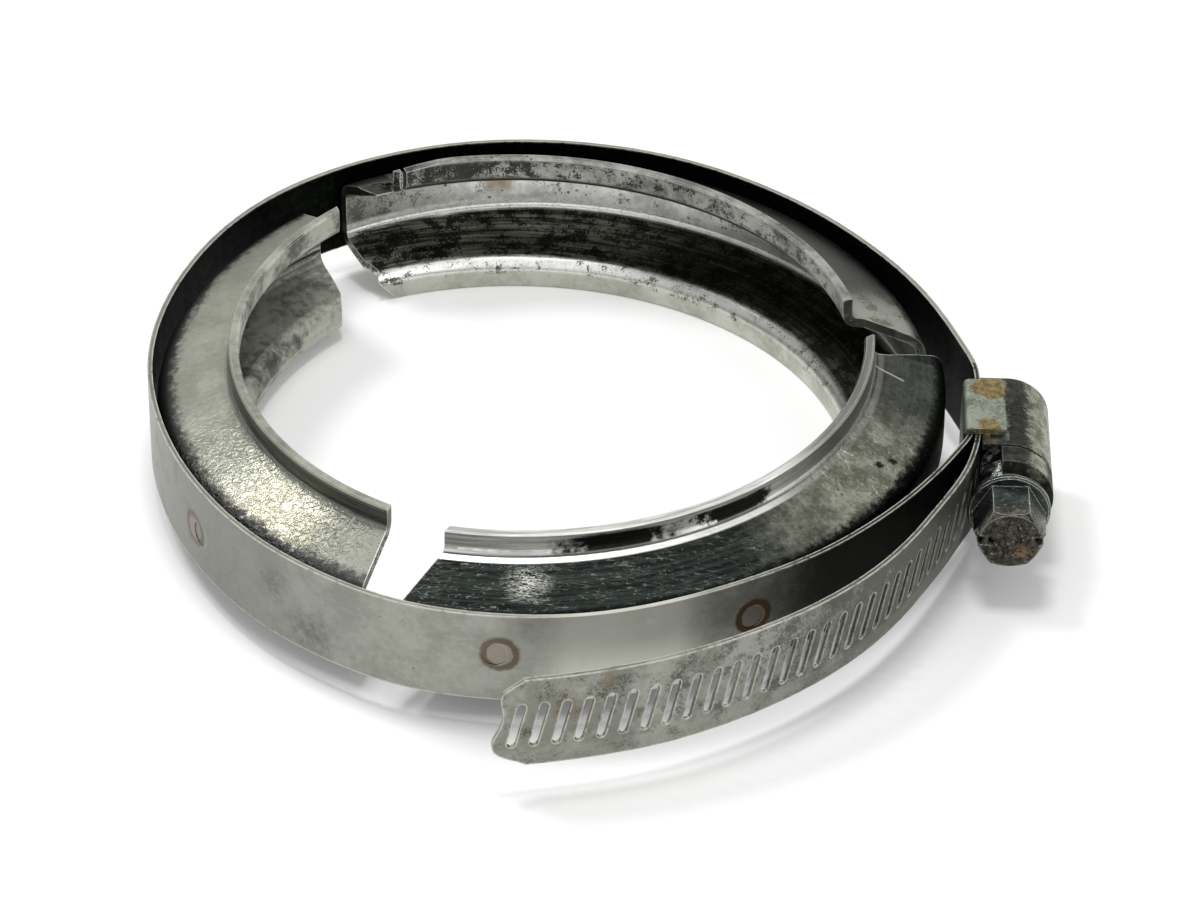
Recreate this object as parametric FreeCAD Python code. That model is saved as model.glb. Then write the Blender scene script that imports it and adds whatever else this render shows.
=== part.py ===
import FreeCAD, Part
import math
import os

# V band clamp: three rolled V retainers spot welded inside a worm-drive strap.
# Millimetres, +Z up.  The lips of the V retainers stand on the floor, z = 0.
# The ring lies flat, its middle plane at z = SEAT.  +X points at the screw.
# The strap runs from its fixed end in the saddle, by the front (-Y), the left
# and the rear, through the screw housing, and ends as a slotted tail in front.

V = FreeCAD.Vector
os.makedirs("parts", exist_ok=True)

# ------------------------------------------------------------ V retainers
SHEET = 1.3            # sheet the V retainers are rolled from
LIP_R = 44.3           # bore of the lips, the face that rides on the flanges
LIP_H = 10.4           # half height over both lips
LIP_LEN = 3.4          # straight part of a lip, before the bend
WEB_R = 55.1           # outer face of the web that the strap lies on
WEB_HALF = 3.9         # half height of the web, at the middle of the sheet
LIP_BEND = 1.0         # inside radius of the bend between lip and flange
WEB_BEND = 1.3         # inside radius of the bend between flange and web
LIP_EDGE = 0.22        # broken raw edge of the lips
SEAT = LIP_H           # height of the middle plane above the floor

LIP_SLANT = ((-23.6, 44.5), (-20.95, 44.5))   # plan, lower lip's left end at the rear
TORN_FROM = 6.2        # the tear in the rear upper lip starts this high
CRACK_FROM = 4.6
WORN_AT = 101.0        # where that lip starts to be worn down, degrees
WORN_RUN = 9.0
WORN_DROP = 1.1

LEFT_AT = V(4.42, -0.07, 0)      # centres of the three retainers: the ring
FRONT_AT = V(-3.15, 1.42, 0)     # has been squeezed, so they do not share one
REAR_AT = V(-4.63, -0.56, 0)

# ------------------------------------------------------------ strap
STRAP_W = 12.7         # half inch band
STRAP_T = 0.65
STRETCHES = 20         # faces the strap is drawn in, along its length
FRAME_COUNT = 120      # places where its course is set square to it
SLOT_PITCH = 2.75
SLOT_W = 1.1
SLOT_L = 6.6
SLOT_LEAN = 14.0       # degrees, the top leans towards the screw
SLOT_LOW = 0.4         # slot centre below the middle of the strap
SLOT_FIRST = 3.1       # first slot from the tip
SLOT_COUNT = 35
SLOT_END_STEP = 45     # degrees between corners of a slot's round ends
WELD_D = 3.3           # print of the spot welding electrode
WELD_DEEP = 0.12
WELD_GAP = 0.02
WELDS = ((211.6, -0.7), (264.1, 0.6), (298.1, 0.7))   # angle, height from the middle

# Course of the strap's outer face: angle round the ring, and how far it stands
# out from where it would lie on the web of a perfectly round ring.
FIXED_COURSE = ((341, 0.60), (335, -0.25), (328.5, -0.90), (319.6, -1.47),
                (308, -1.75))
LOOP_COURSE = ((297, -1.80), (286, -1.15), (274, -0.30), (262, -0.10),
               (251, -0.23), (240, -1.20), (228, -2.25), (216, -3.30),
               (204, -3.95), (192, -4.15), (180, -3.85), (167, -3.35),
               (154, -2.40), (142, -1.10), (130, -0.03), (118, 0.35), (106, 0.35),
               (94, -0.10), (82, -0.90), (70, -1.80), (57, -2.90), (45, -3.50),
               (33, -3.60), (22, -3.00), (12, -2.10), (4, -0.85))
TAIL_COURSE = ((-26.5, 2.83), (-33, 3.10), (-40, 4.00), (-48, 5.25), (-58, 6.60),
               (-68, 8.00), (-78, 9.70), (-87, 11.30), (-95.6, 13.20))
TAIL_LEAN = 1.1        # the lower edge of the tail stands in by this much
TAIL_LEAN_FROM = 86.0  # upright here, measured from the tip, at the housing
TAIL_LEAN_FULL = 77.5  # leans fully here
TAIL_LEAN_HELD = 62.0  # and starts to come upright again here
TAIL_LEAN_END = 18.0   # upright once more

# Worn, snipped tip: distance along the strap, height from the middle.
TIP = ((1.6, 4.6), (1.25, 3.7), (1.5, 1.6), (1.35, 0.0), (0.7, -1.5),
       (0.1, -3.0), (0.2, -3.9), (1.3, -5.0), (3.2, -5.8))
TIP_SHOULDER = 4.3

# ------------------------------------------------------------ worm drive
DRIVE_OUT = 4.04                    # screw axis out from the web
DRIVE_AT = V(WEB_R + DRIVE_OUT, -10.7, SEAT)    # point on the screw axis
DRIVE_TURN = -2.5                   # axis turned from +Y, degrees
TAIL_OFF = 3.5                      # strap tail's outer face from the axis
LAYER_GAP = 0.10                    # between the two layers of strap
FIXED_OFF = TAIL_OFF + STRAP_T + LAYER_GAP
FIXED_END_Y = 5.5                   # end of the fixed layer, along the axis

CROWN_R = 5.75                      # screw housing, outside
HOUSING_T = 0.9
FOOT_RISE = 0.02     # feet turn out just above the ends of the skirts
CROWN_BACK = 8.0
CROWN_FRONT = -7.0
WINDOW = 0.45                       # open gap between crown and collar
WINDOW_REACH = 0.73                 # share of the crown the gap runs out to
COLLAR_R = 5.35
COLLAR_FRONT = -10.7
EDGE_CLEAR = 0.07                   # housing's feet past the strap's edges
FOOT_HALF = STRAP_W / 2 + EDGE_CLEAR

SADDLE_T = 0.8
SADDLE_CLEAR = 0.05                 # between its base and the fixed layer
SADDLE_MOUTH = -3.3                 # base ends here, the legs run on
LEG_CLEAR = 0.1                     # strap's edge to the saddle's legs
SADDLE_IN = STRAP_W / 2 + LEG_CLEAR
SADDLE_BACK = 5.4
SADDLE_FRONT = -5.9
SADDLE_LEG_OUT = -0.4               # outer end of the legs, from the axis

PIN_R = 2.0
RUN_CLEAR = 0.06                    # running clearance of the screw
THREAD_R = 3.35
ROOT_R = 2.5
NECK_R = 3.7
NECK_BACK = -7.4
WASHER_R = 5.3
WASHER_BACK = -12.8
WASHER_T = 1.0
WASHER_EDGE = 0.25
HEX_AF = 7.94                       # 5/16 inch hexagon
HEX_LEN = 6.3
HEX_EASE = 0.1                      # front face inside the flats
HEAD_SLOT_W = 1.3
HEAD_SLOT_DEEP = 1.6
THREAD_START = -4.9                 # thread's middle at its front end
THREAD_RUN = 9.4


# ------------------------------------------------------------ helpers
def save(name, shape):
    shape.exportStep("parts/" + name + ".step")
    print(name, "valid", shape.isValid(), "solids", len(shape.Solids), "volume", round(shape.Volume, 1))


def polar(deg, r, z=0.0, at=V(0, 0, 0)):
    a = math.radians(deg)
    return V(at.x + r * math.cos(a), at.y + r * math.sin(a), z)


def offset_path(points, d):
    """Points of an open path moved sideways by d, mitred at the corners."""
    dirs = [(b - a).normalize() for a, b in zip(points[:-1], points[1:])]
    moved = []
    for i, p in enumerate(points):
        d0 = dirs[max(i - 1, 0)]
        d1 = dirs[min(i, len(dirs) - 1)]
        n0 = V(-d0.y, d0.x, 0)
        n1 = V(-d1.y, d1.x, 0)
        mid = (n0 + n1).normalize()
        moved.append(p + mid * (d / mid.dot(n0)))
    return moved


def rounded(points, radii):
    """Closed wire through the points: corners rounded, or cut off where below 0."""
    count = len(points)
    entry = []
    arcs = []
    for i, p in enumerate(points):
        a = (points[i - 1] - p).normalize()
        b = (points[(i + 1) % count] - p).normalize()
        r = radii[i]
        if r <= 0:
            entry.append((p + a * -r, p + b * -r))
            arcs.append(None)
            continue
        half = a.getAngle(b) / 2
        reach = r / math.tan(half)
        bis = (a + b).normalize()
        mid = p + bis * (r / math.sin(half) - r)
        entry.append((p + a * reach, p + b * reach))
        arcs.append(mid)
    edges = []
    for i in range(count):
        if arcs[i] is not None:
            edges.append(Part.Arc(entry[i][0], arcs[i], entry[i][1]).toShape())
        elif (entry[i][1] - entry[i][0]).Length > 1e-6:
            edges.append(Part.makeLine(entry[i][0], entry[i][1]))
        here = entry[i][1]
        there = entry[(i + 1) % count][0]
        if (there - here).Length > 1e-6:
            edges.append(Part.makeLine(here, there))
    return Part.Wire(edges)


def prism(points, z0, z1):
    ring = [V(p[0], p[1], z0) for p in points]
    face = Part.Face(Part.makePolygon(ring + ring[:1]))
    return face.extrude(V(0, 0, z1 - z0))


def box(x0, x1, y0, y1, z0, z1):
    return Part.makeBox(x1 - x0, y1 - y0, z1 - z0, V(x0, y0, z0))


# ------------------------------------------------------------ V retainers
def v_section(web_r=WEB_R, low_rise=None, low_end=-LIP_H):
    """V with a lip on each side, drawn as (radius, height)."""
    lip = LIP_R + SHEET / 2
    web = web_r - SHEET / 2
    corner = LIP_H - LIP_LEN
    low = corner if low_rise is None else WEB_HALF + low_rise
    spine = [V(lip, LIP_H, 0), V(lip, corner, 0), V(web, WEB_HALF, 0),
             V(web, -WEB_HALF, 0), V(lip, -low, 0), V(lip, low_end, 0)]
    inner = offset_path(spine, -SHEET / 2)
    outer = offset_path(spine, SHEET / 2)
    lip_in = LIP_BEND
    lip_out = LIP_BEND + SHEET
    web_in = WEB_BEND
    web_out = WEB_BEND + SHEET
    # going down the spine, the + side is the one away from the axis at the lips
    radii_out = [-LIP_EDGE, lip_in, web_out, web_out, lip_in, -LIP_EDGE]
    radii_in = [-LIP_EDGE, lip_out, web_in, web_in, lip_out, -LIP_EDGE]
    return rounded(outer + inner[::-1], radii_out + radii_in[::-1])


def stand(wire, deg, at):
    """Section turned upright and set at an angle round its centre."""
    w = wire.copy()
    w.rotate(V(0, 0, 0), V(1, 0, 0), 90)
    w.rotate(V(0, 0, 0), V(0, 0, 1), deg)
    w.translate(at + V(0, 0, SEAT))
    return w


def rolled(wire, start, end, at):
    face = Part.Face(stand(wire, start, at))
    return face.revolve(at, V(0, 0, 1), end - start)


def share_point(at, deg, share):
    """Plan point at an angle, a share of the way from the lips' bore to the web."""
    return polar(deg, LIP_R + share * (WEB_R - LIP_R), 0, at)


def end_cut(at, line, turn, z0=-2.0, z1=2 * LIP_H + 2):
    """All that lies past a line drawn across a retainer, within the angle turn."""
    path = [share_point(at, deg, share) for deg, share in line]
    far = [share_point(at, line[-1][0] + turn, 1.9), share_point(at, line[0][0] + turn, -0.6)]
    path = [share_point(at, line[0][0], -0.6)] + path + [share_point(at, line[-1][0], 1.9)]
    return prism([(p.x, p.y) for p in path + far], z0, z1)


def retainer_left():
    # the lower flange has been closed up, so this one hangs clear of the floor
    wire = v_section(low_rise=1.35, low_end=-8.3)
    body = rolled(wire, 128.0, 246.0, LEFT_AT)
    front = end_cut(LEFT_AT, ((237.8, 0.0), (238.4, 0.22), (240.1, 0.87), (240.6, 1.1)), 20)
    rear_top = end_cut(LEFT_AT, ((137.4, -0.05), (135.7, 0.18), (135.0, 0.55),
                                 (134.4, 0.96)), -20, SEAT)
    rear_low = end_cut(LEFT_AT, ((137.0, 0.0), (134.9, 0.18), (133.7, 0.39), (132.3, 0.72),
                                 (131.0, 0.98), (130.0, 1.15)), -20, -2, SEAT)
    return body.cut([front, rear_top, rear_low])


def retainer_front():
    body = rolled(v_section(), 250.0, 369.0, FRONT_AT)
    left = end_cut(FRONT_AT, ((259.3, -0.1), (258.3, 0.09), (254.7, 0.77), (253.4, 1.1)), -16)
    right = end_cut(FRONT_AT, ((355.3, -0.1), (356.6, -0.04), (357.9, 0.01), (358.8, 0.10),
                               (359.5, 0.29), (1.7, 0.64), (2.8, 0.90), (3.4, 1.1)), 16)
    return body.cut([left, right])


def rear_web(rel):
    """The rear retainer gets shallower towards its left end."""
    fade = max(rel - 84.0, 0.0) / 30.0
    return WEB_R - 1.95 * fade ** 1.35


def retainer_rear():
    angles = (6.0, 35.0, 63.0, 88.0, 100.0, 110.0, 121.0)
    sections = [stand(v_section(web_r=rear_web(a)), a, REAR_AT) for a in angles]
    body = Part.makeLoft(sections, True, False)
    right = end_cut(REAR_AT, ((11.7, 0.0), (12.2, 0.29), (10.6, 0.64), (9.2, 0.89),
                              (8.2, 1.1)), -18)
    left = end_cut(REAR_AT, ((114.9, 0.0), (114.3, 0.12), (115.9, 0.33), (116.6, 0.65),
                             (116.9, 1.0)), 18)
    # the lower lip runs back to its edge at a slant
    slant = prism([(LIP_SLANT[0][0], SEAT - LIP_H + LIP_LEN), (LIP_SLANT[1][0], 0.0),
                   (LIP_SLANT[1][0], -2.0), (LIP_SLANT[0][0] - 8, -2.0),
                   (LIP_SLANT[0][0] - 8, SEAT - LIP_H + LIP_LEN)], 0, 9)
    slant.rotate(V(0, 0, 0), V(1, 0, 0), 90)
    slant.translate(V(0, LIP_SLANT[0][1], 0))
    # the upper lip is worn down towards its torn end: stub, crack, ragged tongue
    torn = end_cut(REAR_AT, ((111.4, -0.1), (110.8, -0.02), (110.0, 0.05), (111.2, 0.12),
                             (111.0, 0.26), (112.1, 0.26), (112.7, 0.38), (114.0, 0.35),
                             (115.0, 0.49), (116.7, 0.72)), 18, SEAT + TORN_FROM)
    crack = end_cut(REAR_AT, ((109.3, -0.1), (109.2, 0.24)), 0.7, SEAT + CRACK_FROM)
    worn = Part.makeBox(WORN_RUN, 8, 4, V(-WORN_RUN, -4, 0))
    worn.rotate(V(0, 0, 0), V(0, 1, 0), -math.degrees(math.atan(WORN_DROP / WORN_RUN)))
    worn.rotate(V(0, 0, 0), V(0, 0, 1), WORN_AT + 90 - 180 - 5)
    start = polar(WORN_AT, LIP_R + SHEET / 2, SEAT + LIP_H, REAR_AT)
    worn.translate(start)
    return body.cut([right, left, slant, torn, crack, worn])


# ------------------------------------------------------------ strap
def drive_point(x, y):
    a = math.radians(DRIVE_TURN)
    return V(DRIVE_AT.x + x * math.cos(a) - y * math.sin(a),
             DRIVE_AT.y + x * math.sin(a) + y * math.cos(a), 0)


def strap_centre():
    half = STRAP_T / 2
    pts = [drive_point(-FIXED_OFF - half, y) for y in (FIXED_END_Y, 1.5, -1.5, -4.0)]
    lie = WEB_R + half
    pts += [polar(a, lie + rise) for a, rise in FIXED_COURSE + LOOP_COURSE]
    pts += [drive_point(-TAIL_OFF - half, y) for y in (8.5, 4.5, 0.5, -3.5)]
    pts += [polar(a, lie + rise) for a, rise in TAIL_COURSE]
    curve = Part.BSplineCurve()
    curve.interpolate(pts)
    return curve


def strap_frames(curve, count):
    """Evenly spaced points along the strap, each with its outward normal."""
    edge = curve.toShape()
    length = edge.Length
    frames = []
    for i in range(count + 1):
        u = curve.parameterAtDistance(length * i / count)
        p = curve.value(u)
        t = V(*curve.tangent(u)[0])
        frames.append((p, t, V(t.y, -t.x, 0) * -1.0, length * (1 - i / count)))
    return frames, length


def ease(x, start, end):
    """0 before start, 1 after end, smooth between."""
    k = min(max((x - start) / (end - start), 0.0), 1.0)
    return k * k * (3 - 2 * k)


def lean_at(from_tip):
    """How far the lower edge stands in, on the tail only."""
    rise = ease(from_tip, TAIL_LEAN_FROM, TAIL_LEAN_FULL)
    return TAIL_LEAN * rise * ease(from_tip, TAIL_LEAN_END, TAIL_LEAN_HELD)


def smooth_run(points):
    """One smooth curve through the points, in stretches of equal count."""
    curve = Part.BSplineCurve()
    curve.interpolate(points)
    u0 = curve.FirstParameter
    step = (curve.LastParameter - u0) / STRETCHES
    return [curve.toShape(u0 + i * step, u0 + (i + 1) * step) for i in range(STRETCHES)]


def strap_layer(frames, z, low):
    outer = []
    inner = []
    for p, t, n, from_tip in frames:
        shift = lean_at(from_tip) if low else 0.0
        q = V(p.x, p.y, z) - n * shift
        outer.append(q + n * (STRAP_T / 2))
        inner.append(q - n * (STRAP_T / 2))
    return Part.Wire(smooth_run(outer) + [Part.makeLine(outer[-1], inner[-1])]
                     + smooth_run(inner[::-1]) + [Part.makeLine(inner[0], outer[0])])


def frame_at(curve, length, from_tip):
    u = curve.parameterAtDistance(length - from_tip)
    t = V(*curve.tangent(u)[0])
    return curve.value(u), t, V(t.y, -t.x, 0) * -1.0


def on_strap(shape, p, t, n, height):
    """Place a shape drawn with x back along the tail, y up and z outwards."""
    m = FreeCAD.Matrix(-t.x, 0, n.x, p.x, -t.y, 0, n.y, p.y,
                       0, 1, 0, SEAT + height, 0, 0, 0, 1)
    s = shape.copy()
    s.transformShape(m)
    return s


def slot_tool():
    half = SLOT_L / 2 - SLOT_W / 2
    w = SLOT_W / 2
    turn = [math.radians(a) for a in range(0, 181, SLOT_END_STEP)]
    ring = [V(w * math.cos(a), half + w * math.sin(a), 0) for a in turn]
    ring += [V(-w * math.cos(a), -half - w * math.sin(a), 0) for a in turn]
    wire = Part.makePolygon(ring + ring[:1])
    tool = Part.Face(wire).extrude(V(0, 0, 3))
    tool.translate(V(0, 0, -1.7))
    tool.rotate(V(0, 0, 0), V(0, 0, 1), -SLOT_LEAN)
    return tool


def tip_tool():
    half = STRAP_W / 2
    worn = Part.BSplineCurve()
    worn.interpolate([V(u, v, 0) for u, v in TIP])
    ends = [V(TIP[-1][0], TIP[-1][1], 0), V(TIP_SHOULDER, -half - 0.05, 0),
            V(TIP_SHOULDER, -half - 2, 0), V(-3, -half - 2, 0), V(-3, half + 2, 0),
            V(TIP_SHOULDER, half + 2, 0), V(TIP_SHOULDER, half + 0.05, 0),
            V(TIP[0][0], TIP[0][1], 0)]
    wire = Part.Wire([worn.toShape()] + Part.makePolygon(ends).Edges)
    tool = Part.Face(wire).extrude(V(0, 0, 6))
    tool.translate(V(0, 0, -3))
    return tool


def band_strap():
    curve = strap_centre()
    frames, length = strap_frames(curve, FRAME_COUNT)
    half = STRAP_W / 2
    low = strap_layer(frames, SEAT - half, True)
    top = strap_layer(frames, SEAT + half, False)
    strap = Part.makeLoft([low, top], True, True)
    tools = []
    for i in range(SLOT_COUNT):
        at = SLOT_FIRST + i * SLOT_PITCH
        p, t, n = frame_at(curve, length, at)
        shift = lean_at(at) / 2
        tools.append(on_strap(slot_tool(), p - n * shift, t, n, -SLOT_LOW))
    p, t, n = frame_at(curve, length, 0)
    tools.append(on_strap(tip_tool(), p, t, n, 0))
    for deg, height in WELDS:
        tools.append(weld_print(frames, deg, height))
    return strap.cut(tools)


def weld_print(frames, deg, height):
    """Shallow round print of the electrode, sunk in the strap's outer face."""
    best = min(frames[7:], key=lambda f: abs((math.degrees(math.atan2(f[0].y, f[0].x))
                                              - deg + 180) % 360 - 180)
               + (50 if f[3] < 95 else 0))
    p, t, n, _ = best
    disc = Part.makeCylinder(WELD_D / 2, 3, V(0, 0, STRAP_T / 2 - WELD_DEEP))
    return on_strap(disc, p, t, n, height)


# ------------------------------------------------------------ worm drive
def place(shape):
    """From the drive's own axes (x outwards, y to the rear) to the clamp."""
    s = shape.copy()
    s.rotate(V(0, 0, 0), V(0, 0, 1), DRIVE_TURN)
    s.translate(DRIVE_AT)
    return s


def half_round(r, y0, y1, x_in):
    """Half round bar with straight skirts reaching in to x_in."""
    bar = Part.makeCylinder(r, y1 - y0, V(0, y0, 0), V(0, 1, 0))
    bar = bar.common(box(0, r + 1, y0 - 1, y1 + 1, -r - 1, r + 1))
    return bar.fuse(box(x_in, 0, y0, y1, -r, r))


def screw_housing():
    face_in = -TAIL_OFF + LAYER_GAP
    crown = half_round(CROWN_R, CROWN_FRONT, CROWN_BACK, face_in)
    crown = crown.cut(half_round(CROWN_R - HOUSING_T, CROWN_FRONT - 1,
                                 CROWN_BACK - HOUSING_T, face_in - 1))
    foot_in = CROWN_R - HOUSING_T
    feet = [box(face_in + FOOT_RISE, face_in + HOUSING_T, SADDLE_FRONT, SADDLE_BACK, lo, hi)
            for lo, hi in ((-FOOT_HALF, -foot_in), (foot_in, FOOT_HALF))]
    bridge = half_round(CROWN_R, COLLAR_FRONT, CROWN_FRONT, -1.0)
    bridge = bridge.cut(half_round(CROWN_R - HOUSING_T, COLLAR_FRONT - 1,
                                   CROWN_FRONT + 1, -2.0))
    window = box(-CROWN_R, WINDOW_REACH * CROWN_R, CROWN_FRONT - WINDOW, CROWN_FRONT,
                 -2 * CROWN_R, 2 * CROWN_R)
    collar = half_round(COLLAR_R, COLLAR_FRONT, CROWN_FRONT - WINDOW, -1.0)
    body = crown.fuse(feet + [bridge.cut(window), collar])
    bore = half_round(NECK_R + RUN_CLEAR, COLLAR_FRONT - 1, CROWN_FRONT + 1, -CROWN_R)
    pin_hole = Part.makeCylinder(PIN_R + RUN_CLEAR, 2 * CROWN_BACK, V(0, 0, 0), V(0, 1, 0))
    body = body.cut([bore, pin_hole])
    body = body.removeSplitter()
    return place(body)


def housing_saddle():
    base = -FIXED_OFF - STRAP_T - SADDLE_CLEAR
    out = SADDLE_IN + SADDLE_T
    spine = [V(SADDLE_LEG_OUT, out, 0), V(base - SADDLE_T, out, 0),
             V(base - SADDLE_T, -out, 0), V(SADDLE_LEG_OUT, -out, 0),
             V(SADDLE_LEG_OUT, -SADDLE_IN, 0), V(base, -SADDLE_IN, 0),
             V(base, SADDLE_IN, 0), V(SADDLE_LEG_OUT, SADDLE_IN, 0)]
    radii = [-0.2, 0.9, 0.9, -0.2, -0.2, 0, 0, -0.2]
    wire = rounded(spine, radii)
    wire.rotate(V(0, 0, 0), V(1, 0, 0), 90)
    body = Part.Face(wire).extrude(V(0, SADDLE_FRONT - SADDLE_BACK, 0))
    body.translate(V(0, SADDLE_BACK, 0))
    mouth = box(base - SADDLE_T - 1, base + 1, SADDLE_FRONT - 1, SADDLE_MOUTH,
                -SADDLE_IN, SADDLE_IN)
    return place(body.cut(mouth))


def worm_thread():
    pitch = SLOT_PITCH
    helix = Part.makeHelix(pitch, THREAD_RUN, ROOT_R)
    root = ROOT_R - 0.25
    wire = Part.makePolygon([V(root, 0, -0.85), V(THREAD_R, 0, -0.4),
                             V(THREAD_R, 0, 0.4), V(root, 0, 0.85), V(root, 0, -0.85)])
    thread = Part.Wire(helix.Edges).makePipeShell([wire], True, True)
    thread.rotate(V(0, 0, 0), V(1, 0, 0), -90)
    thread.translate(V(0, THREAD_START, 0))
    return thread


def worm_screw():
    y = V(0, 1, 0)
    inside = CROWN_BACK - HOUSING_T
    core = Part.makeCylinder(ROOT_R, inside - 0.15 - NECK_BACK, V(0, NECK_BACK, 0), y)
    pin = Part.makeCylinder(PIN_R, CROWN_BACK + 0.5, V(0, 0, 0), y)
    neck = Part.makeCylinder(NECK_R, NECK_BACK - WASHER_BACK, V(0, WASHER_BACK, 0), y)
    washer = Part.makeCylinder(WASHER_R, WASHER_T, V(0, WASHER_BACK - WASHER_T, 0), y)
    washer = washer.makeChamfer(WASHER_EDGE, [e for e in washer.Edges if e.Closed])
    head_back = WASHER_BACK - WASHER_T
    corner = HEX_AF / 2 / math.cos(math.radians(30))
    ring = [V(corner * math.cos(math.radians(60 * i)), 0,
              corner * math.sin(math.radians(60 * i))) for i in range(7)]
    head = Part.Face(Part.makePolygon(ring)).extrude(V(0, -HEX_LEN, 0))
    head.translate(V(0, head_back, 0))
    face_r = HEX_AF / 2 - HEX_EASE
    cone = Part.makeCone(face_r + HEX_LEN, face_r, HEX_LEN, V(0, head_back, 0), V(0, -1, 0))
    head = head.common(cone)
    slot = box(-corner, corner, head_back - HEX_LEN - 1,
               head_back - HEX_LEN + HEAD_SLOT_DEEP, -HEAD_SLOT_W / 2, HEAD_SLOT_W / 2)
    head = head.cut(slot)
    body = core.fuse([pin, neck, washer, head, worm_thread()])
    return place(body)


save("band_strap", band_strap())
save("v_retainer_left", retainer_left())
save("v_retainer_front", retainer_front())
save("v_retainer_rear", retainer_rear())
save("screw_housing", screw_housing())
save("housing_saddle", housing_saddle())
save("worm_screw", worm_screw())
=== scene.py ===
# %% [markdown]
# # A used V band clamp
# Three rolled V retainers are spot welded inside a flat strap, and a worm screw draws
# the strap tight. The solids come from CAD with their shapes finished, so this lesson
# is about looks: camera, floor, light, and the old stained steel of each piece.

# %% Load the frame
import bpy
import math
from mathutils import Matrix, Vector


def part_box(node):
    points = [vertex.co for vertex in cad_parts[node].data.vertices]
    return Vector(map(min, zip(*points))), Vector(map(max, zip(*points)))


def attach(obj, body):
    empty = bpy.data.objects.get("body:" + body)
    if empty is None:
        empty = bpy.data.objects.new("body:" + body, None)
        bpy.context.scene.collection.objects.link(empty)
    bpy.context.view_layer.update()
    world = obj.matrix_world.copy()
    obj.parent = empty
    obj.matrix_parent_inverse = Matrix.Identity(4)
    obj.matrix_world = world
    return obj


MM = 1000.0         # millimetres in a metre
MIDDLE = 0.0104     # height of the ring's middle plane, metres

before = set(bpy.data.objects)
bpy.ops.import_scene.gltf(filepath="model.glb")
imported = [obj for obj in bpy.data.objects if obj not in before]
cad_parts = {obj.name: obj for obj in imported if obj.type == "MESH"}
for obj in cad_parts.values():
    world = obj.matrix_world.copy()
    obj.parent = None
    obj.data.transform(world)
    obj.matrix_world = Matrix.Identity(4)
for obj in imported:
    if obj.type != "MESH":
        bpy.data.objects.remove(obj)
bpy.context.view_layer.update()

# %% [markdown]
# ## Camera
# A long lens, from about 34 degrees above the bench, shows the ring as a calm ellipse
# with little perspective. The camera is set by its place in metres and by two
# directions: the way it looks, and the way the right-hand side of its frame points.

# %% Camera
LENS_MM = 150
SENSOR_MM = 36
NEAREST_SEEN = 0.01

eye = Vector((0.0, -0.539640, 0.378370))
ahead = Vector((0.01057816, 0.82072165, -0.57123031)).normalized()
across = Vector((0.99994111, -0.00729636, 0.008034)).normalized()
over = across.cross(ahead).normalized()
camera_data = bpy.data.cameras.new("bench_camera")
camera_data.lens = LENS_MM
camera_data.sensor_width = SENSOR_MM
camera_data.clip_start = NEAREST_SEEN
camera = bpy.data.objects.new("bench_camera", camera_data)
turned = Matrix((across, over, -ahead)).transposed().to_4x4()
camera.matrix_world = Matrix.Translation(eye) @ turned
bpy.context.scene.collection.objects.link(camera)
bpy.context.scene.camera = camera
bpy.context.scene.view_settings.view_transform = "Standard"
print("camera stands", round(eye.length * MM), "mm from the ring")

# %% [markdown]
# ## Small helpers for materials
# Every finish below is a node tree. Writing `nodes.new` and `links.new` again and again
# hides the idea, so one short class makes a node, sets its values and joins its inputs.

# %% Node helper
class Tree:
    def __init__(self, tree):
        self.tree = tree

    def add(self, kind, inputs=(), **settings):
        made = self.tree.nodes.new(kind)
        for name, value in settings.items():
            setattr(made, name, value)
        for key, value in dict(inputs).items():
            self.put(made.inputs[key], value)
        return made

    def put(self, socket, value):
        """Join another node's output to a socket, or give the socket a plain value."""
        if isinstance(value, bpy.types.NodeSocket):
            self.tree.links.new(value, socket)
        else:
            socket.default_value = value

    def math(self, operation, a, b=0.5, c=0.5, clamp=False):
        made = self.add("ShaderNodeMath", {0: a, 1: b, 2: c}, operation=operation)
        made.use_clamp = clamp
        return made.outputs[0]

    def vector(self, operation, a, b=(0, 0, 0)):
        made = self.add("ShaderNodeVectorMath", {0: a, 1: b}, operation=operation)
        return made.outputs["Value" if operation in ("DOT_PRODUCT", "LENGTH") else "Vector"]

    def mix(self, share, a, b):
        """Colour a where share is 0, colour b where it is 1."""
        return self.add("ShaderNodeMix", {0: share, 6: a, 7: b}, data_type="RGBA").outputs[2]

    def ease(self, value, start, end, low=0.0, high=1.0):
        """Low up to start, high from end on, smooth between; start may be the larger."""
        made = self.add("ShaderNodeMapRange",
                        {0: value, 1: start, 2: end, 3: low, 4: high},
                        interpolation_type="SMOOTHSTEP")
        return made.outputs[0]

    def noise(self, place, scale, detail=3.0, rough=0.55):
        made = self.add("ShaderNodeTexNoise",
                        {"Vector": place, "Scale": scale, "Detail": detail,
                         "Roughness": rough})
        return made.outputs[0]

    def split(self, vector):
        return self.add("ShaderNodeSeparateXYZ", {0: vector}).outputs


def rgb(r, g, b):
    return (r, g, b, 1.0)


print("helper methods:", [name for name in vars(Tree) if not name.startswith("_")])

# %% [markdown]
# ## Floor and light
# The bench is a plain white sheet that runs out of sight, so the background is white and
# only the soft shadow shows. Eye rays and mirror rays see both floor and surround a
# little brighter than the light these give: the white stays clean, the shadow stays.

# %% Helper: rays that see
def seeing_rays(t):
    """1 for rays that show a surface to the eye, straight, mirrored or through glass."""
    paths = t.add("ShaderNodeLightPath").outputs
    straight_or_mirrored = t.math("MAXIMUM", paths["Is Camera Ray"], paths["Is Glossy Ray"])
    return t.math("MAXIMUM", straight_or_mirrored, paths["Is Transmission Ray"])


# %% Floor
FLOOR_REACH = 3.0
FLOOR_WHITE = 0.86
FLOOR_GLOW = 0.14

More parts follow.
